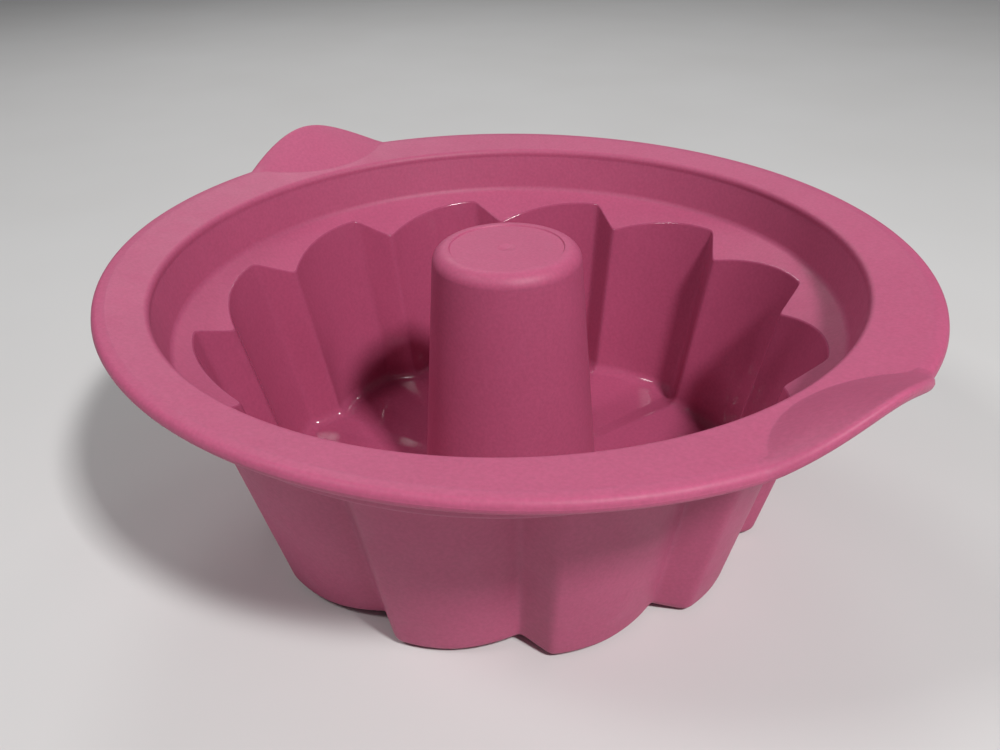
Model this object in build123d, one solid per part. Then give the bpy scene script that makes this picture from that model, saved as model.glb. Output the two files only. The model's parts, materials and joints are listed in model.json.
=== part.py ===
"""Ring cake mould: one soft silicone moulding, drawn as its named regions.

Frame: +Z up, X through the two thumb tabs, origin on the ground under the tube.
Every region is a separate solid, and neighbours meet face to face.
"""
from build123d import *
import math
import os

os.makedirs("parts", exist_ok=True)

# ---------------------------------------------------------------- driving sizes (mm, degrees)
wall = 2.4                   # collar, ledge, flutes, floor and tube
rim_height = 92.5            # top of the lip above the ground

# Rim: a dished flange round the mouth, wider at the tabs, with a thick rounded lip.
mouth_radius = 110.5
flange_thickness = 2.6
flange_rise = 2.2            # lip above the mouth edge
flange_width_at_tabs = 22.4
flange_width_at_sides = 15.0
lip_width = 4.0
lip_height = 4.0

# Thumb tabs: the flange turned up outwards from a curved crease.
tab_half_width = 31.0
tab_reach = 5.0              # tip beyond the end of the oval rim
tab_rise = 13.0              # tip above the lip
crease_margin = 4.0          # flange left between the mouth and the crease

# Collar and ledge: a short steep wall, then a land that falls to the flutes.
collar_depth = 16.0
collar_draft = 13.0
ledge_width = 4.6            # from the collar to the flute tips
ledge_slope = 31.0

# Flutes: a pinwheel of convex walls, each ending in a short return.
flute_count = 12
flute_depth = 9.0            # tip to cusp, at the ledge
flute_bulge = 0.11           # rise of each convex wall over its chord
return_angle = 6.2
tip_lean = 16.5              # how far the tips draw in from ledge to floor
cusp_lean = 15.5
floor_corner = 4.0           # corner between the flutes and the floor

# Floor: petals with a flat foot, each stepping up at its cusp.
petal_step = 2.0
flat_share = 0.45            # part of each petal's ramp that lies flat

# Tube: a tapered hollow chimney with a closed top.
tube_rise = 2.5              # top above the mouth edge
tube_top_radius = 24.1
tube_draft = 5.0
shoulder_radius = 5.0
cap_land = 0.1               # upright band between the tube and the shoulder
recess_margin = 0.3          # flat top left between the shoulder and the recess
recess_depth = 0.5
dimple_radius = 3.0
dimple_depth = 0.5

# ---------------------------------------------------------------- derived sizes
pitch = 360.0 / flute_count
rim_half_length = mouth_radius + flange_width_at_tabs
rim_half_width = mouth_radius + flange_width_at_sides
mouth_height = rim_height - flange_rise
mouth_edge_radius = 0.8 * flange_thickness      # leaves a short straight wall under it
lip_edge_radius = 0.45 * lip_height             # leaves a narrow band between the two edges
rim_cut_depth = 4 * lip_height                  # how far rim cutting shapes run down past the lip
collar_top = mouth_height - flange_thickness
ledge_height = mouth_height - collar_depth
ledge_radius = mouth_radius - (collar_depth - flange_thickness) * math.tan(math.radians(collar_draft))
ledge_drop = wall / math.cos(math.radians(ledge_slope))
ledge_tip_radius = ledge_radius - ledge_width
ledge_cusp_radius = ledge_tip_radius - flute_depth
floor_tip_radius = ledge_tip_radius - tip_lean
floor_cusp_radius = ledge_cusp_radius - cusp_lean
tube_top = mouth_height + tube_rise
cap_base = tube_top - shoulder_radius - cap_land
recess_radius = tube_top_radius - shoulder_radius - recess_margin
tube_base_radius = tube_top_radius + cap_base * math.tan(math.radians(tube_draft))
beyond = 2 * rim_half_length     # larger than the mould, for cutting shapes
overshoot = 1.0                  # cutting shapes run past the faces that they cut


# ---------------------------------------------------------------- small helpers
def polar(radius, degrees, z=0.0):
    angle = math.radians(degrees)
    return Vector(radius * math.cos(angle), radius * math.sin(angle), z)


def turned(points):
    """Solid of revolution about Z from (radius, height) points."""
    return revolve(make_face(Polyline([(r, 0, z) for r, z in points], close=True)), Axis.Z)


def disc(radius, centre_x, low, high):
    return Pos(centre_x, 0, low) * extrude(Circle(radius), high - low)


def oval(inset, low, high):
    outline = Ellipse(rim_half_length - inset, rim_half_width - inset)
    return Pos(0, 0, low) * extrude(outline, high - low)


# ---------------------------------------------------------------- rim
def flange_dish():
    """Solid that fills the dish between the mouth edge and the lip."""
    mouth = Pos(0, 0, mouth_height) * Circle(mouth_radius)
    lip = Pos(0, 0, rim_height) * Ellipse(rim_half_length - lip_width, rim_half_width - lip_width)
    return loft([mouth, lip], ruled=True)


def rim_flange():
    dish = flange_dish()
    lowered = Pos(0, 0, -flange_thickness) * dish
    plate = lowered + oval(lip_width, rim_height - flange_thickness, rim_height) - dish
    plate -= disc(mouth_radius, 0, collar_top - overshoot, rim_height + overshoot)
    mouth_edges = plate.edges().filter_by_position(Axis.Z, mouth_height, mouth_height)
    return fillet(mouth_edges, mouth_edge_radius) - crease_discs()


def rim_lips():
    bottom = rim_height - lip_height
    outside = oval(0, bottom, rim_height)
    outside = fillet(outside.edges(), lip_edge_radius)
    ring = outside - oval(lip_width, bottom - overshoot, rim_height + overshoot)
    ring -= crease_discs()
    return ring.solids().sort_by(Axis.Y)


# ---------------------------------------------------------------- thumb tabs
def arc_through(corner_x, apex_x):
    """Centre and radius of the arc through both tab corners and a point on X."""
    rise = apex_x - corner_x
    radius = (tab_half_width**2 + rise**2) / (2 * abs(rise))
    return apex_x - math.copysign(radius, rise), radius


corner_x = rim_half_length * math.sqrt(1 - (tab_half_width / rim_half_width)**2)
tab_tip_x = rim_half_length + tab_reach
edge_x, edge_radius = arc_through(corner_x, tab_tip_x)

# The crease lies in a plane that dips inwards with the flange from the two tab corners.
crease_run = corner_x - mouth_radius - crease_margin
crease_drop = flange_rise * crease_run / (corner_x - mouth_radius)
crease_dip = math.degrees(math.atan2(crease_drop, crease_run))
crease_x, crease_radius = arc_through(0, -math.hypot(crease_run, crease_drop))
tab_climb = math.degrees(math.atan2(tab_rise + crease_drop, tab_tip_x - corner_x + crease_run)) - crease_dip
tab_frame = Pos(corner_x, 0, rim_height) * Rot(0, -crease_dip, 0)


def crease_discs():
    one = tab_frame * disc(crease_radius, crease_x, -rim_cut_depth / 2, rim_cut_depth / 2)
    return one + Rot(0, 0, 180) * one


def upswept_plate(thickness):
    """A dished cone that starts at the crease and climbs away from it."""
    peak = crease_radius * math.tan(math.radians(tab_climb))
    profile = [(0, peak), (crease_radius, 0), (crease_radius, -thickness), (0, peak - thickness)]
    return tab_frame * Pos(crease_x, 0, 0) * turned(profile)


def tab_outline(radius):
    return disc(radius, edge_x, rim_height - rim_cut_depth, rim_height + beyond)


def thumb_tab():
    return upswept_plate(flange_thickness) & tab_outline(edge_radius - lip_width)


def tab_lip():
    blank = upswept_plate(lip_height) & tab_outline(edge_radius)
    outer_face = blank.faces().sort_by(Axis.X)[-1]
    long_edges = outer_face.edges().sort_by(SortBy.LENGTH)[-2:]
    return fillet(long_edges, lip_edge_radius) - tab_outline(edge_radius - lip_width)


# ---------------------------------------------------------------- collar and ledge
def ledge_at(radius):
    return ledge_height - (ledge_radius - radius) * math.tan(math.radians(ledge_slope))


def collar():
    thickness = wall / math.cos(math.radians(collar_draft))
    return turned([(ledge_radius, ledge_height), (mouth_radius, collar_top),
                   (mouth_radius + thickness, collar_top),
                   (ledge_radius + thickness, ledge_height - ledge_drop),
                   (ledge_radius, ledge_height - ledge_drop)])


def ledge(cavity):
    inner = ledge_cusp_radius - 2 * wall
    ring = turned([(ledge_radius, ledge_height), (ledge_radius, ledge_height - ledge_drop),
                   (inner, ledge_at(inner) - ledge_drop), (inner, ledge_at(inner))])
    for index in range(flute_count):
        ring -= Rot(0, 0, -index * pitch) * cavity
    return ring


# ---------------------------------------------------------------- flutes
def left_of(direction):
    return Vector(-direction.Y, direction.X, 0).normalized()


def mitre(first, second, distance):
    """Corner shift that moves both sides of a corner outwards by a distance."""
    return (first + second) * (distance / (1 + first.dot(second)))


def flute_slice(z, offset):
    """Wedge of the flute outline at one height, moved outwards by an offset.

    Seen from above it runs clockwise: cusp, convex wall, tip, return, next cusp.
    """
    share = (z - wall) / (ledge_height - wall)
    tip_radius = floor_tip_radius + share * (ledge_tip_radius - floor_tip_radius)
    cusp_radius = floor_cusp_radius + share * (ledge_cusp_radius - floor_cusp_radius)
    cusp = polar(cusp_radius, -return_angle)
    tip = polar(tip_radius, -pitch)
    next_cusp = polar(cusp_radius, -pitch - return_angle)
    opening = math.degrees(2 * math.atan(2 * flute_bulge))
    wall_normal = left_of(tip - cusp)
    return_normal = left_of(next_cusp - tip)
    start_normal = wall_normal.rotate(Axis.Z, opening - pitch)
    end_normal = wall_normal.rotate(Axis.Z, -opening)
    cusp_shift = math.copysign(mitre(return_normal, start_normal, offset).length, offset)
    start = polar(cusp_radius + cusp_shift, -return_angle)
    peak = tip + mitre(end_normal, return_normal, offset)
    finish = polar(cusp_radius + cusp_shift, -pitch - return_angle)
    chord = peak - start
    crown = (start + peak) * 0.5 + left_of(chord) * (chord.length * flute_bulge)
    outline = [Line((0, 0), start), ThreePointArc(start, crown, peak),
               Line(peak, finish), Line(finish, (0, 0))]
    return Pos(0, 0, z) * make_face(outline)


def cavity_sector():
    """One flute's wedge of the space inside the mould, run down through the floor."""
    sections = [flute_slice(wall, -floor_corner), flute_slice(wall + floor_corner, 0),
                flute_slice(ledge_height, 0)]
    return loft(sections, ruled=True) + extrude(sections[0], -wall - overshoot)


def outer_sector():
    """One flute's wedge of the outside of the mould, one wall out from the cavity."""
    chamfer_shift = wall * (math.sqrt(2) - 1)
    corner_top = wall + floor_corner - chamfer_shift
    sections = [flute_slice(0, chamfer_shift - floor_corner), flute_slice(corner_top, wall),
                flute_slice(ledge_height, wall)]
    return loft(sections, ruled=True)


# ---------------------------------------------------------------- floor
def petal_section(degrees, step, height):
    """Upright slice of a petal on one bearing, from inside the tube outwards."""
    inner = tube_base_radius - 2 * wall
    slope = step / (floor_cusp_radius - tube_base_radius)
    rise_inner = slope * (inner - tube_base_radius)
    rise_outer = slope * (beyond - tube_base_radius)
    corners = [polar(inner, degrees, rise_inner), polar(beyond, degrees, rise_outer),
               polar(beyond, degrees, rise_outer + height), polar(inner, degrees, rise_inner + height)]
    return make_face(Polyline(corners, close=True))


def petal(height):
    """Petal that falls from its cusp to a flat foot, then steps up along its return."""
    ramp_start = -return_angle
    flat_end = -pitch
    flat_start = flat_end + flat_share * (ramp_start - flat_end)
    ramp = loft([petal_section(ramp_start, petal_step, height),
                 petal_section(flat_start, 0, height)], ruled=True)
    step = loft([petal_section(flat_end, 0, height),
                 petal_section(-pitch - return_angle, petal_step, height)], ruled=True)
    inner = tube_base_radius - 2 * wall
    foot = make_face(Polyline([polar(inner, flat_start), polar(beyond, flat_start),
                               polar(beyond, flat_end), polar(inner, flat_end)], close=True))
    return ramp + extrude(foot, height) + step


def floor_petal(cavity):
    draft = math.tan(math.radians(tube_draft))
    top = 4 * wall
    tube_core = turned([(0, -overshoot), (tube_base_radius + overshoot * draft, -overshoot),
                        (tube_base_radius - top * draft, top), (0, top)])
    return (petal(wall) & cavity) - tube_core


def flute(cavity):
    above_ledge = turned([(0, ledge_at(0) - ledge_drop), (beyond, ledge_at(beyond) - ledge_drop),
                          (beyond, 2 * beyond), (0, 2 * beyond)])
    return ((outer_sector() - cavity) & petal(rim_height)) - above_ledge


# ---------------------------------------------------------------- tube
def centre_tube():
    return turned([(tube_base_radius, 0), (tube_top_radius, cap_base),
                   (tube_top_radius - wall, cap_base), (tube_base_radius - wall, 0)])


def tube_cap():
    inner_radius = shoulder_radius - wall
    outer = turned([(0, cap_base), (tube_top_radius, cap_base), (tube_top_radius, tube_top), (0, tube_top)])
    outer = fillet(outer.edges().group_by(Axis.Z)[-1], shoulder_radius)
    hollow = turned([(0, cap_base - overshoot), (tube_top_radius - wall, cap_base - overshoot),
                     (tube_top_radius - wall, tube_top - wall), (0, tube_top - wall)])
    hollow = fillet(hollow.edges().group_by(Axis.Z)[-1], inner_radius)
    recess = disc(recess_radius, 0, tube_top - recess_depth, tube_top + overshoot)
    dimple_low = tube_top - recess_depth - dimple_depth
    dimple = turned([(0, dimple_low), (dimple_radius, tube_top - recess_depth), (0, tube_top - recess_depth)])
    return outer - hollow - recess - dimple


# ---------------------------------------------------------------- write the nodes
def write(name, shape):
    export_step(shape.solids()[0] if len(shape.solids()) == 1 else shape, f"parts/{name}.step")


cavity = cavity_sector()
flute_blank = flute(cavity)
petal_blank = floor_petal(cavity)
lip_front, lip_back = rim_lips()
half_turn = Rot(0, 0, 180)

nodes = {
    "rim_flange": rim_flange(),
    "rim_lip_front": lip_front,
    "rim_lip_back": lip_back,
    "thumb_tab_right": thumb_tab(),
    "thumb_tab_left": half_turn * thumb_tab(),
    "tab_lip_right": tab_lip(),
    "tab_lip_left": half_turn * tab_lip(),
    "collar": collar(),
    "ledge": ledge(cavity),
    "centre_tube": centre_tube(),
    "tube_cap": tube_cap(),
}
for index in range(flute_count):
    turn = Rot(0, 0, -index * pitch)
    nodes[f"flute_{index + 1:02d}"] = turn * flute_blank
    nodes[f"floor_petal_{index + 1:02d}"] = turn * petal_blank

for name, shape in nodes.items():
    write(name, shape)
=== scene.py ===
"""Ring cake mould, visual model.

The mould is one silicone moulding, so its skin is worked out as one surface: a top side that runs
from the lip over the rim, collar, ledge, flutes and floor up to the tube's cap, and an underside
one wall below. Both are grids of rows (lip to centre) and columns (bearings round the tube). The
skin is then cut along the CAD's own borders into one closed piece for each CAD node, and the
pieces share the whole skin's normals, so the cuts don't show.
"""
import json
import math

import bpy
import numpy as np
from mathutils import Matrix, Vector


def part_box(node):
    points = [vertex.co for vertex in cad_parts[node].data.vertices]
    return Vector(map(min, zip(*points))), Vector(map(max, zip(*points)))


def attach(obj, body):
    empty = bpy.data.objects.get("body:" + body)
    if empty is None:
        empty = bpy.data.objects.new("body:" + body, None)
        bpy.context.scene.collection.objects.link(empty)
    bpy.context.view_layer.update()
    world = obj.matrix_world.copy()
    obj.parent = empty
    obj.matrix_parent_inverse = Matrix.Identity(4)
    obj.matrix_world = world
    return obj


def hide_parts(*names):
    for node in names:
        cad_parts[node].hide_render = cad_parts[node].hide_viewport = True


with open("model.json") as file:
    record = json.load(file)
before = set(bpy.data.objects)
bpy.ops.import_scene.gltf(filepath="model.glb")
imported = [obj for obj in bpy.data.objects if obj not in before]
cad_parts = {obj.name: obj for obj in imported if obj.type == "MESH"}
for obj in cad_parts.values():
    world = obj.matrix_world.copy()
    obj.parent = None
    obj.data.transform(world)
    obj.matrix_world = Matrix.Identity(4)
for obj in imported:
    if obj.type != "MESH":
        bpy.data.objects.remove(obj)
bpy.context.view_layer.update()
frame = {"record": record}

MM = 0.001

# ---------------------------------------------------------------- sizes read from the CAD (mm)
def cad(node, corner, axis):
    """One coordinate of a CAD node's box, in millimetres."""
    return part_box(node)[corner][axis] / MM


LOW, HIGH = 0, 1
X, Y, Z = 0, 1, 2
rim_top = cad("rim_lip_front", HIGH, Z)
lip_height = rim_top - cad("rim_lip_front", LOW, Z)
half_width = -cad("rim_lip_front", LOW, Y)
tab_half_width = cad("tab_lip_right", HIGH, Y)
tab_tip_x = cad("tab_lip_right", HIGH, X)
collar_top = cad("collar", HIGH, Z)
tube_base_radius = cad("centre_tube", HIGH, X)
tube_top_radius = cad("tube_cap", HIGH, X)
tube_top = cad("tube_cap", HIGH, Z)
cap_base = cad("tube_cap", LOW, Z)

# ---------------------------------------------------------------- sizes shared with the CAD source
wall = 2.4
flange_thickness = 2.6
flange_rise = 2.2
mouth_radius = 110.5
flange_width_at_tabs = 22.4
crease_margin = 4.0
lip_width = 4.0
collar_depth = 16.0
collar_draft = math.radians(13.0)
ledge_width = 4.6
ledge_slope = math.tan(math.radians(31.0))
flute_count = 12
flute_depth = 9.0
flute_bulge = 0.11
return_angle = 6.2
tip_lean = 16.5
cusp_lean = 15.5
petal_step = 2.0
flat_share = 0.45
recess_margin = 5.3          # CAD shoulder and the flat land inside it
recess_depth = 0.5
dimple_radius = 3.0
dimple_depth = 0.5

mouth_top = cad("rim_flange", LOW, Z) + flange_thickness
half_length = mouth_radius + flange_width_at_tabs
pitch = 360.0 / flute_count
ledge_height = mouth_top - collar_depth
ledge_radius = mouth_radius - (collar_depth - flange_thickness) * math.tan(collar_draft)
collar_thickness = wall / math.cos(collar_draft)
ledge_drop = wall * math.hypot(1, ledge_slope)
tip_radius = ledge_radius - ledge_width
cusp_radius = tip_radius - flute_depth
tube_slope = (tube_base_radius - tube_top_radius) / cap_base
recess_radius = tube_top_radius - recess_margin

# ---------------------------------------------------------------- soft corners of the moulding
mouth_edge = 2.1
lip_edge = 1.8
ledge_fillet = 3.4           # collar to ledge
flute_edge = 1.1             # ledge to flute, which catches a thin glint
floor_fillet = 5.0
foot_fillet = 4.5            # outside of the same corner
tube_fillet = 3.5
shoulder = 4.9
crease_softness = 0.18
flute_softness = 0.55        # rounding of the tips and cusps, in degrees
step_softness = 0.55


# ---------------------------------------------------------------- columns: bearings round the tube
wall_columns, return_columns = 36, 14
crowding = 0.6               # 0 spaces a wall's columns evenly, 1 packs its ends fully


def column_bearings():
    """Degrees clockwise from the first cusp, closer together where the flutes turn."""
    wall_span = pitch - return_angle
    along = np.arange(wall_columns) / wall_columns
    wall_part = wall_span * (along - crowding * np.sin(2 * math.pi * along) / (2 * math.pi))
    return_part = wall_span + return_angle * np.arange(return_columns) / return_columns
    one = np.concatenate([wall_part, return_part])
    return np.concatenate([one + pitch * k for k in range(flute_count)])


phase = column_bearings()
bearing = np.radians(-return_angle - phase)      # CAD bearings, clockwise
columns_per_flute = len(phase) // flute_count
columns = len(phase)

corner_x = half_length * math.sqrt(1 - (tab_half_width / half_width)**2)
corner_angle = math.atan2(tab_half_width, corner_x)


def nearest_column(angle):
    return int(np.argmin(np.abs(np.angle(np.exp(1j * (bearing - angle))))))


tab_columns = {}
for side, middle in (("right", 0.0), ("left", math.pi)):
    first = nearest_column(middle + corner_angle)
    last = nearest_column(middle - corner_angle)
    bearing[first] = middle + corner_angle
    bearing[last] = middle - corner_angle
    count = (last - first) % columns
    tab_columns[side] = [(first + k) % columns for k in range(count + 1)]
phase = (-np.degrees(bearing) - return_angle) % 360


# ---------------------------------------------------------------- rim: outline and height
def arc_through(corner, apex):
    """Centre and radius of the arc through both tab corners and a point on X."""
    rise = apex - corner
    radius = (tab_half_width**2 + rise**2) / (2 * abs(rise))
    return apex - math.copysign(radius, rise), radius


edge_x, edge_radius = arc_through(corner_x, tab_tip_x)
crease_x, crease_radius = arc_through(corner_x, mouth_radius + crease_margin)
in_tab = np.zeros(columns, bool)
for members in tab_columns.values():
    in_tab[members] = True
folded = np.arctan2(np.sin(bearing), np.abs(np.cos(bearing)))     # both tabs folded onto +X


def oval_radius(inset):
    long_side, short_side = half_length - inset, half_width - inset
    return long_side * short_side / np.hypot(short_side * np.cos(folded), long_side * np.sin(folded))


def arc_radius(centre, radius, side):
    under = np.maximum(radius**2 - (centre * np.sin(folded))**2, 0.0)
    return centre * np.cos(folded) + side * np.sqrt(under)


rim_radius = np.where(in_tab, arc_radius(edge_x, edge_radius, 1), oval_radius(0))
lip_inner = rim_radius - lip_width
crease = np.where(in_tab, arc_radius(crease_x, crease_radius, -1), lip_inner)
crease = np.minimum(crease, lip_inner)
dish_edge = oval_radius(lip_width)
across_tab = np.clip(1 - np.abs(folded) / corner_angle, 0, 1)
across_tab = across_tab**2 * (3 - 2 * across_tab)
tip_share = (tab_tip_x - mouth_radius) / (half_length - lip_width - mouth_radius)
climb_run = tab_tip_x - mouth_radius - crease_margin
tip_height = cad("tab_lip_right", HIGH, Z) - rim_top
climb = (tip_height - flange_rise * (tip_share - 1)) / climb_run


def rim_height_at(radius):
    """Height of the rim's top side at one radius for every column."""
    share = (radius - mouth_radius) / (dish_edge - mouth_radius)
    past_lip = np.maximum(share - 1, 0) * across_tab
    dish = mouth_top + flange_rise * (np.minimum(share, 1) + past_lip)
    beyond = crease_radius - np.hypot(radius * np.cos(folded) - crease_x, radius * np.sin(folded))
    soft = crease_softness * np.logaddexp(0, beyond / crease_softness)
    return dish + climb * np.where(in_tab, soft, 0.0)


# ---------------------------------------------------------------- flutes: outline at floor and ledge
def corner_shift(first, second, distance):
    """Shift of a corner that moves both of its sides outwards by a distance."""
    return (first + second) * (distance / (1 + first @ second))


def left_of(direction):
    return np.array([-direction[1], direction[0]]) / np.linalg.norm(direction)


def spun(vector, degrees):
    angle = math.radians(degrees)
    c, s = math.cos(angle), math.sin(angle)
    return np.array([c * vector[0] - s * vector[1], s * vector[0] + c * vector[1]])


def softened(values, width):
    """Periodic blur of one flute's values, sampled at the fine bearings."""
    turns = np.fft.rfftfreq(len(values), d=pitch / len(values))
    return np.fft.irfft(np.fft.rfft(values) * np.exp(-2 * (math.pi * turns * width)**2), len(values))


fine_steps = 8               # samples to a degree
fine_phase = np.arange(int(pitch * fine_steps)) / fine_steps
arc_points, back_points = 80, 30


def flute_radius(tip, cusp, offset):
    """Radius of the flute outline in every column, moved outwards by an offset."""
    start = cusp * np.array([1.0, 0.0])
    peak = spun(np.array([tip, 0.0]), return_angle - pitch)
    finish = spun(start, -pitch)
    opening = math.degrees(2 * math.atan(2 * flute_bulge))
    wall_normal, return_normal = left_of(peak - start), left_of(finish - peak)
    start_normal, end_normal = spun(wall_normal, opening - pitch), spun(wall_normal, -opening)
    cusp_shift = np.linalg.norm(corner_shift(return_normal, start_normal, offset))
    shifted = cusp + math.copysign(cusp_shift, offset)
    start, finish = shifted * start / cusp, shifted * finish / cusp
    peak = peak + corner_shift(end_normal, return_normal, offset)
    chord = peak - start
    length = np.linalg.norm(chord)
    sagitta = flute_bulge * length
    radius = (length**2 / 4 + sagitta**2) / (2 * sagitta)
    centre = (start + peak) / 2 + left_of(chord) * (sagitta - radius)
    swing = math.asin(length / 2 / radius)
    outward = left_of(chord)
    arc = [centre + radius * spun(outward, math.degrees(swing * (1 - 2 * t)))
           for t in np.linspace(0, 1, arc_points)]
    back = [peak + (finish - peak) * t for t in np.linspace(0, 1, back_points)[1:]]
    points = np.array(arc + back)
    turned = -np.degrees(np.arctan2(points[:, 1], points[:, 0]))
    outline = np.interp(fine_phase, turned, np.hypot(points[:, 0], points[:, 1]))
    return np.interp(phase % pitch, fine_phase, softened(outline, flute_softness), period=pitch)


def step_share():
    """How far each bearing of a petal is lifted: 1 at its cusp, 0 along its flat foot."""
    foot_end = pitch - return_angle
    foot_start = foot_end * (1 - flat_share)
    lifted = np.interp(fine_phase, [0, foot_start, foot_end, pitch], [1, 0, 0, 1])
    return np.interp(phase % pitch, fine_phase, softened(lifted, step_softness), period=pitch)


inside_high = flute_radius(tip_radius, cusp_radius, 0)
inside_low = flute_radius(tip_radius - tip_lean, cusp_radius - cusp_lean, 0)
outside_high = flute_radius(tip_radius, cusp_radius, wall)
outside_low = flute_radius(tip_radius - tip_lean, cusp_radius - cusp_lean, wall)
petal_lift = step_share()


def petal_height(radius):
    run = cusp_radius - cusp_lean - tube_base_radius
    return petal_step * petal_lift * np.maximum(radius - tube_base_radius, 0) / run


def ledge_meets(high, low, drop):
    """Where the ledge plane meets the leaning flute wall."""
    lean = (high - low) / (ledge_height - wall)
    reach = ledge_height - wall - drop - ledge_slope * ledge_radius
    radius = (low + lean * reach) / (1 - lean * ledge_slope)
    return radius, ledge_height - drop - ledge_slope * (ledge_radius - radius)


def floor_meets(high, low, base):
    """Where the leaning flute wall meets the floor, in a few rounds of substitution."""
    rounds = 4
    lean = (high - low) / (ledge_height - wall)
    radius = low
    for _ in range(rounds):
        height = base + petal_height(radius)
        radius = low + lean * (height - wall)
    return radius, height


# ---------------------------------------------------------------- rows: rounded section paths
def point(radius, height):
    """A (radius, height) pair for every column."""
    return np.stack(np.broadcast_arrays(np.asarray(radius, float), np.asarray(height, float),
                                        np.zeros(columns))[:2], axis=-1)


def unit(vectors):
    return vectors / np.linalg.norm(vectors, axis=-1, keepdims=True)


def rounded_corner(before, corner, after, radius, count):
    """Rows round one corner, each an array of (radius, height) for every column."""
    back, ahead = unit(before - corner), unit(after - corner)
    half = np.arccos(np.clip((back * ahead).sum(-1), -1, 1))[:, None] / 2
    middle = corner + unit(back + ahead) * radius / np.sin(half)
    start = corner + back * radius / np.tan(half) - middle
    end = corner + ahead * radius / np.tan(half) - middle
    swing = math.pi - 2 * half
    return [middle + (np.sin((1 - t) * swing) * start + np.sin(t * swing) * end) / np.sin(swing)
            for t in np.linspace(0, 1, count)]


def straight(start, end, count):
    """Rows strictly between two rows."""
    return [start + (end - start) * t for t in np.linspace(0, 1, count + 2)[1:-1]]


def section_rows(corners):
    """The rows along a path of corners and, for each named corner, the row in its middle."""
    rows, middles, gap_rows = [], {}, 0
    for index, (name, place, radius, turn_rows, run_rows) in enumerate(corners):
        if radius:
            turn = rounded_corner(corners[index - 1][1], place, corners[index + 1][1], radius, turn_rows)
        else:
            turn = [place]
        if rows:
            rows += straight(rows[-1], turn[0], gap_rows)
        middles[name] = len(rows) + len(turn) // 2
        rows += turn
        gap_rows = run_rows
    return rows, middles


edge_radius_in, edge_height_in = ledge_meets(inside_high, inside_low, 0)
edge_radius_out, edge_height_out = ledge_meets(outside_high, outside_low, ledge_drop)
floor_radius_in, floor_height_in = floor_meets(inside_high, inside_low, wall)
floor_radius_out, floor_height_out = floor_meets(outside_high, outside_low, 0)
tube_inside = tube_base_radius - wall
cap_underside = tube_top - wall
recess_floor = tube_top - recess_depth
recess_ramp = 0.35
centre_radius = 0.02         # keeps the middle's quads from collapsing to nothing
top_start = mouth_radius + 4
under_start = mouth_radius + 9

# Each corner is its name, place and radius, the rows round it and the rows in the straight after it.
top_corners = [
    ("start", point(top_start, rim_height_at(top_start)), 0, 1, 0),
    ("mouth", point(mouth_radius, mouth_top), mouth_edge, 9, 1),
    ("collar", point(mouth_radius, collar_top), 4.0, 5, 5),
    ("ledge", point(ledge_radius, ledge_height), ledge_fillet, 7, 5),
    ("flute", point(edge_radius_in, edge_height_in), flute_edge, 7, 16),
    ("petal", point(floor_radius_in, floor_height_in), floor_fillet, 9, 16),
    ("tube", point(tube_base_radius - tube_slope * wall, wall), tube_fillet, 7, 14),
    ("cap", point(tube_top_radius, tube_top), shoulder, 13, 1),
    ("recess_rim", point(recess_radius, tube_top), 0.12, 3, 1),
    ("recess", point(recess_radius - recess_ramp, recess_floor), 0.25, 3, 6),
    ("dimple_rim", point(dimple_radius, recess_floor), 2.0, 5, 3),
    ("centre", point(centre_radius, recess_floor - dimple_depth), 0, 1, 0),
]
under_corners = [
    ("start", point(under_start, rim_height_at(under_start) - flange_thickness), 0, 1, 3),
    ("collar", point(mouth_radius + collar_thickness, collar_top), 1.6, 7, 6),
    ("ledge", point(ledge_radius + collar_thickness, ledge_height - ledge_drop), 2.0, 7, 4),
    ("flute", point(edge_radius_out, edge_height_out), 1.5, 7, 16),
    ("petal", point(floor_radius_out, floor_height_out), foot_fillet, 9, 12),
    ("tube", point(tube_inside, petal_height(tube_inside)), 1.0, 7, 14),
    ("cap", point(tube_top_radius - wall, cap_underside), shoulder - wall, 9, 6),
    ("centre", point(centre_radius, cap_underside), 0, 1, 0),
]

# The parting line of the mould tool stands a hair proud of the lip's outer side.
flash_width, flash_depth = 0.16, 0.10
lip_land = (2.6, 3.3)        # insets of the rows on the lip's flat top
flange_rows = 10             # rows on each side of the crease
crease_crowding = 1.6        # above 1 the rows close up towards the crease


def lip_profile():
    """(inset from the outline, drop below the top side) from mid-height to the inner border."""
    middle = lip_height / 2
    side = [(0.0, middle), (flash_depth, middle - flash_width), (flash_depth, lip_edge + 0.02)]
    turn = [(flash_depth + lip_edge * (1 - math.sin(a)), lip_edge * (1 - math.cos(a)))
            for a in np.linspace(math.pi / 2, 0, 9)[1:]]
    land = [(inset, 0.0) for inset in (*lip_land, lip_width)]
    return side + turn + land


def rim_rows(rows, under):
    """Rows from the lip's mid-height to the first row of the bowl, and the borders' row numbers."""
    made = []
    for inset, drop in lip_profile():
        depth = lip_height - drop if under else drop
        base = rim_radius - inset
        made.append(point(base, rim_height_at(base) - depth))
    if under:
        made.append(point(lip_inner, rim_height_at(lip_inner) - flange_thickness - 0.5))
    depth = flange_thickness if under else 0.0
    borders = {"tab": len(made) - 1}
    first_bowl = rows[0][:, 0]
    for t in np.linspace(0, 1, flange_rows)[1:]:
        place = lip_inner + (crease - lip_inner) * (1 - (1 - t)**crease_crowding)
        made.append(point(place, rim_height_at(place) - depth))
    borders["flange"] = len(made) - 1
    for t in np.linspace(0, 1, flange_rows)[1:-1]:
        place = crease + (first_bowl - crease) * t**crease_crowding
        made.append(point(place, rim_height_at(place) - depth))
    return made, borders


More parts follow.
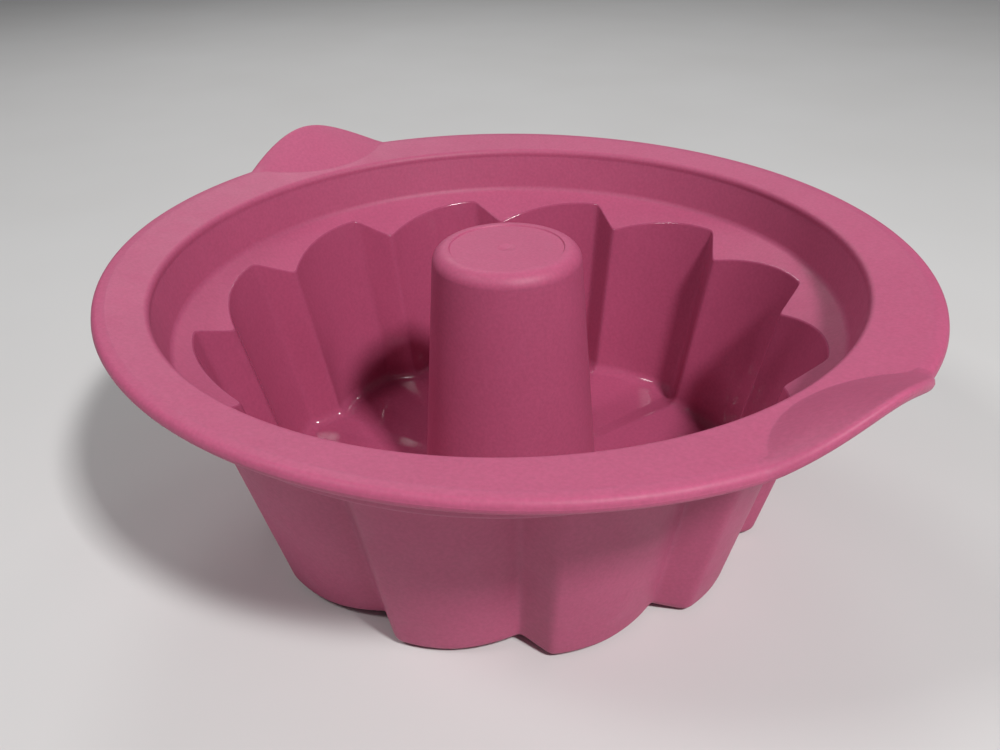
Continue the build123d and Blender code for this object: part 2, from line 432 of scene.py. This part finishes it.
def whole_side(corners, under):
    bowl, middles = section_rows(corners)
    bowl = bowl[1:]
    rim, borders = rim_rows(bowl, under)
    for name, row in middles.items():
        borders[name] = len(rim) + row - 1
    rows = np.array(rim + bowl)
    around = np.stack([np.cos(bearing), np.sin(bearing)], axis=-1)
    grid = np.concatenate([rows[..., :1] * around, rows[..., 1:]], axis=-1) * MM
    return grid, borders


top, top_rows = whole_side(top_corners, under=False)
under, under_rows = whole_side(under_corners, under=True)
under[0] = top[0]
for side_rows in (top_rows, under_rows):
    side_rows["lip"] = 0
    side_rows["end"] = side_rows["centre"]
    side_rows["petal"] += 4      # the floor corner belongs to the flute
top_rows["flute"] -= 3           # and so does the whole rounded edge of the ledge


# ---------------------------------------------------------------- cutting the skin into pieces
def strip_faces(grid, first, last, members, flip):
    """Corner positions of the quads between rows first..last over the given columns."""
    rows = grid[first:last + 1][:, members]
    a, b = rows[:-1, :-1], rows[:-1, 1:]
    c, d = rows[1:, 1:], rows[1:, :-1]
    order = (d, c, b, a) if flip else (a, b, c, d)
    return np.stack(order, axis=2).reshape(-1, 4, 3)


def side_wall(top_line, under_line):
    """Quads that close a piece between its two sides along one border row."""
    a, b = top_line[:-1], top_line[1:]
    c, d = under_line[1:], under_line[:-1]
    return np.stack((d, c, b, a), axis=1)


weld_distance = 1e-4 * MM
no_length = 1e-20            # stands in for zero when a vector is scaled to unit length


def position_keys(corners):
    return np.round(corners.reshape(-1, 3) / weld_distance).astype(np.int64)


def piece_faces(start, stop, members):
    """Skin quads, border quads and end polygons of one piece."""
    t0, t1 = top_rows[start], top_rows[stop]
    u0, u1 = under_rows[start], under_rows[stop]
    inside = strip_faces(top, t0, t1, members, False)
    outside = strip_faces(under, u0, u1, members, True)
    borders = []
    if start != "lip":
        borders.append(side_wall(top[t0, members], under[u0, members]))
    if stop != "end":
        borders.append(side_wall(top[t1, members], under[u1, members])[:, ::-1])
    ends = []
    if members[0] != members[-1]:
        for column, forward in ((members[0], True), (members[-1], False)):
            ring = np.concatenate([top[t0:t1 + 1, column], under[u0:u1 + 1, column][::-1]])
            ends.append(ring if forward else ring[::-1])
    return inside, outside, borders, ends


ring = list(range(columns)) + [0]
pieces = {
    "rim_flange": ("flange", "collar", ring),
    "collar": ("collar", "ledge", ring),
    "ledge": ("ledge", "flute", ring),
    "centre_tube": ("tube", "cap_start", ring),
    "tube_cap": ("cap_start", "end", ring),
}
# The whole rounded shoulder belongs to the cap.
top_rows["cap_start"] = top_rows["cap"] - 6
under_rows["cap_start"] = under_rows["cap"] - 4
for side, members in tab_columns.items():
    pieces[f"thumb_tab_{side}"] = ("tab", "flange", members)
    pieces[f"tab_lip_{side}"] = ("lip", "tab", members)
front_lip = [(tab_columns["right"][-1] + k) % columns
             for k in range((tab_columns["left"][0] - tab_columns["right"][-1]) % columns + 1)]
back_lip = [(tab_columns["left"][-1] + k) % columns
            for k in range((tab_columns["right"][0] - tab_columns["left"][-1]) % columns + 1)]
pieces["rim_lip_front"] = ("lip", "tab", front_lip)
pieces["rim_lip_back"] = ("lip", "tab", back_lip)
for index in range(flute_count):
    first = index * columns_per_flute
    members = [(first + k) % columns for k in range(columns_per_flute + 1)]
    pieces[f"flute_{index + 1:02d}"] = ("flute", "petal", members)
    pieces[f"floor_petal_{index + 1:02d}"] = ("petal", "tube", members)

made = {name: piece_faces(*spec) for name, spec in pieces.items()}


def skin_normals():
    """Area-weighted normal of the whole skin at every position on it."""
    skins = [skin for inside, outside, _, _ in made.values() for skin in (inside, outside)]
    quads = np.concatenate(skins)
    facing = np.cross(quads[:, 2] - quads[:, 0], quads[:, 3] - quads[:, 1])
    keys, place = np.unique(position_keys(quads), axis=0, return_inverse=True)
    total = np.zeros((len(keys), 3))
    np.add.at(total, place.ravel(), np.repeat(facing, 4, axis=0))
    total = total / np.maximum(np.linalg.norm(total, axis=1, keepdims=True), no_length)
    return {tuple(key): normal for key, normal in zip(keys.tolist(), total.tolist())}


normals = skin_normals()


OWN_FINISH, SATIN = 0, 1     # material slots of every piece


def build_piece(name):
    """Mesh object for one piece, with welded corners and the whole skin's normals.

    Inside faces take the piece's own finish. Every other face is satin.
    """
    inside, outside, borders, ends = made[name]
    groups = [(face, True, OWN_FINISH) for face in inside]
    groups += [(face, True, SATIN) for face in outside]
    groups += [(face, False, SATIN) for border in borders for face in border]
    groups += [(face, False, SATIN) for face in ends]
    seen, vertices, faces, loop_normals, finish_numbers = {}, [], [], [], []
    for face, on_skin, finish_number in groups:
        keys = [tuple(key) for key in position_keys(face).tolist()]
        loop = []
        for key, place in zip(keys, face):
            if key not in seen:
                seen[key] = len(vertices)
                vertices.append(place.tolist())
            if not loop or (seen[key] != loop[-1][0] and seen[key] != loop[0][0]):
                loop.append((seen[key], key))
        if len(loop) < 3:
            continue
        flat = np.cross(face[1] - face[0], face[2] - face[1])
        flat = (flat / max(np.linalg.norm(flat), no_length)).tolist()
        faces.append([number for number, _ in loop])
        finish_numbers.append(finish_number)
        loop_normals += [normals[key] if on_skin else flat for _, key in loop]
    mesh = bpy.data.meshes.new(name + "_skin")
    mesh.from_pydata(vertices, [], faces)
    mesh.polygons.foreach_set("use_smooth", [True] * len(mesh.polygons))
    mesh.materials.append(finishes[slot_of[name]])
    mesh.materials.append(satin)
    mesh.polygons.foreach_set("material_index", finish_numbers)
    mesh.normals_split_custom_set(loop_normals)
    piece = bpy.data.objects.new(name + "_skin", mesh)
    bpy.context.scene.collection.objects.link(piece)
    return piece


# ---------------------------------------------------------------- silicone
# Texture scales, in features to a metre.
mottle_scale = 26
smear_scale = 34
slump_scale = 38
sheen_scale = 140
speckle_scale = 900
grain_scale = 2600

# Bump depths in metres.
grain_depth = 0.00012
slump_depth = 0.0006


def silicone(name, colour, roughness, grain, smear):
    """Moulded silicone: pigment mottling, a fine tool texture and faint greasy smears."""
    material = bpy.data.materials.new(name)
    material.use_nodes = True
    nodes, links = material.node_tree.nodes, material.node_tree.links
    shader = nodes["Principled BSDF"]
    place = nodes.new("ShaderNodeTexCoord").outputs["Object"]

    def noise(scale, detail, distortion=0.0):
        node = nodes.new("ShaderNodeTexNoise")
        node.inputs["Scale"].default_value = scale
        node.inputs["Detail"].default_value = detail
        node.inputs["Distortion"].default_value = distortion
        links.new(place, node.inputs["Vector"])
        return node.outputs["Fac"]

    def spread(value, low, high, start=0.3, stop=0.7):
        node = nodes.new("ShaderNodeMapRange")
        sockets = ("From Min", "From Max", "To Min", "To Max")
        for socket, number in zip(sockets, (start, stop, low, high)):
            node.inputs[socket].default_value = number
        links.new(value, node.inputs["Value"])
        return node.outputs["Result"]

    def multiplied(first, second):
        node = nodes.new("ShaderNodeMix")
        node.data_type = "RGBA"
        node.blend_type = "MULTIPLY"
        node.inputs["Factor"].default_value = 1.0
        links.new(first, node.inputs["A"])
        links.new(second, node.inputs["B"])
        return node.outputs["Result"]

    pigment = nodes.new("ShaderNodeValToRGB")
    deep = [channel * 0.965 for channel in colour]
    pale = [min(1.0, channel * 1.03 + 0.001) for channel in colour]
    pigment.color_ramp.elements[0].color = (*deep, 1)
    pigment.color_ramp.elements[0].position = 0.3
    pigment.color_ramp.elements[1].color = (*pale, 1)
    pigment.color_ramp.elements[1].position = 0.72
    links.new(noise(mottle_scale, 4, 0.4), pigment.inputs["Fac"])
    fine = spread(noise(speckle_scale, 2), 0.94, 1.06)
    links.new(multiplied(pigment.outputs["Color"], fine), shader.inputs["Base Color"])

    smears = spread(noise(smear_scale, 6, 1.6), 0.0, smear, 0.48, 0.72)
    base = spread(noise(sheen_scale, 3), roughness - 0.03, roughness + 0.03)
    rough = nodes.new("ShaderNodeMath")
    rough.operation = "ADD"
    links.new(smears, rough.inputs[0])
    links.new(base, rough.inputs[1])
    links.new(rough.outputs["Value"], shader.inputs["Roughness"])

    tool_grain = nodes.new("ShaderNodeBump")
    tool_grain.inputs["Strength"].default_value = grain
    tool_grain.inputs["Distance"].default_value = grain_depth
    links.new(noise(grain_scale, 2), tool_grain.inputs["Height"])
    slump = nodes.new("ShaderNodeBump")
    slump.inputs["Strength"].default_value = 0.25
    slump.inputs["Distance"].default_value = slump_depth
    links.new(noise(slump_scale, 1), slump.inputs["Height"])
    links.new(tool_grain.outputs["Normal"], slump.inputs["Normal"])
    links.new(slump.outputs["Normal"], shader.inputs["Normal"])

    shader.inputs["IOR"].default_value = 1.41
    shader.inputs["Subsurface Weight"].default_value = 0.12
    shader.inputs["Subsurface Radius"].default_value = (0.0035, 0.0012, 0.0015)
    shader.inputs["Subsurface Scale"].default_value = 1.0
    return material


satin = silicone("silicone_satin", (0.46, 0.088, 0.182), 0.52, 0.35, 0.06)
gloss = silicone("silicone_gloss", (0.40, 0.074, 0.155), 0.11, 0.03, 0.07)
finishes = {"silicone_satin": satin, "silicone_gloss": gloss}
slot_of = {entry["node"]: entry["material_slot"] for entry in frame["record"]["subparts"]}

for name in pieces:
    piece = build_piece(name)
    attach(piece, "root")
    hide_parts(name)


# ---------------------------------------------------------------- floor, light and camera
def floor():
    half = 4.0
    corners = [(-half, -half, 0), (half, -half, 0), (half, half, 0), (-half, half, 0)]
    mesh = bpy.data.meshes.new("studio_floor")
    mesh.from_pydata(corners, [], [(0, 1, 2, 3)])
    plane = bpy.data.objects.new("studio_floor", mesh)
    material = bpy.data.materials.new("pale_paper")
    material.use_nodes = True
    nodes, links = material.node_tree.nodes, material.node_tree.links
    shader = nodes["Principled BSDF"]
    grain = nodes.new("ShaderNodeTexNoise")
    grain.inputs["Scale"].default_value = 60
    tint = nodes.new("ShaderNodeValToRGB")
    tint.color_ramp.elements[0].color = (0.60, 0.59, 0.58, 1)
    tint.color_ramp.elements[1].color = (0.65, 0.645, 0.64, 1)
    links.new(grain.outputs["Fac"], tint.inputs["Fac"])
    links.new(tint.outputs["Color"], shader.inputs["Base Color"])
    shader.inputs["Roughness"].default_value = 0.9
    mesh.materials.append(material)
    bpy.context.scene.collection.objects.link(plane)


def area_light(name, place, width, height, watts):
    """A softbox aimed at the middle of the mould."""
    data = bpy.data.lights.new(name, "AREA")
    data.shape = "RECTANGLE"
    data.size = width
    data.size_y = height
    data.energy = watts
    light = bpy.data.objects.new(name, data)
    light.location = place
    aim = Vector((0, 0, 0.05))
    light.rotation_euler = (aim - Vector(place)).to_track_quat("-Z", "Y").to_euler()
    bpy.context.scene.collection.objects.link(light)


floor()
world = bpy.data.worlds.new("studio_air")
world.use_nodes = True
world.node_tree.nodes["Background"].inputs["Color"].default_value = (0.93, 0.95, 1.0, 1)
world.node_tree.nodes["Background"].inputs["Strength"].default_value = 0.10
bpy.context.scene.world = world
bpy.context.scene.view_settings.view_transform = "Standard"

camera_yaw = math.radians(53.25)
camera_pitch = math.radians(30.94)
camera_roll = math.radians(-1.47)
camera_place = Vector((0.2145, -0.1642, 0.2063))
camera = bpy.data.objects.new("camera", bpy.data.cameras.new("camera"))
camera.data.lens = 32.4
camera.data.sensor_width = 36.0
turn = Matrix.Rotation(camera_yaw, 4, "Z") @ Matrix.Rotation(math.pi / 2 - camera_pitch, 4, "X")
camera.matrix_world = Matrix.Translation(camera_place) @ turn @ Matrix.Rotation(camera_roll, 4, "Z")
camera.data.clip_start = 0.01
bpy.context.scene.collection.objects.link(camera)
bpy.context.scene.camera = camera


def from_camera(right, ahead, up):
    """A place in the studio given from the tube, along the camera's own level directions."""
    level = Matrix.Rotation(camera_yaw, 4, "Z")
    return level @ Vector((right, ahead, up))


area_light("key_light", from_camera(0.50, -0.75, 1.10), 0.15, 0.15, 17)
area_light("second_light", from_camera(-0.80, -0.30, 1.15), 0.26, 0.26, 4.5)
area_light("left_panel", from_camera(-0.26, 0.92, 0.88), 0.30, 0.30, 2.6)
area_light("right_panel", from_camera(0.28, 0.92, 0.84), 0.20, 0.22, 0.9)
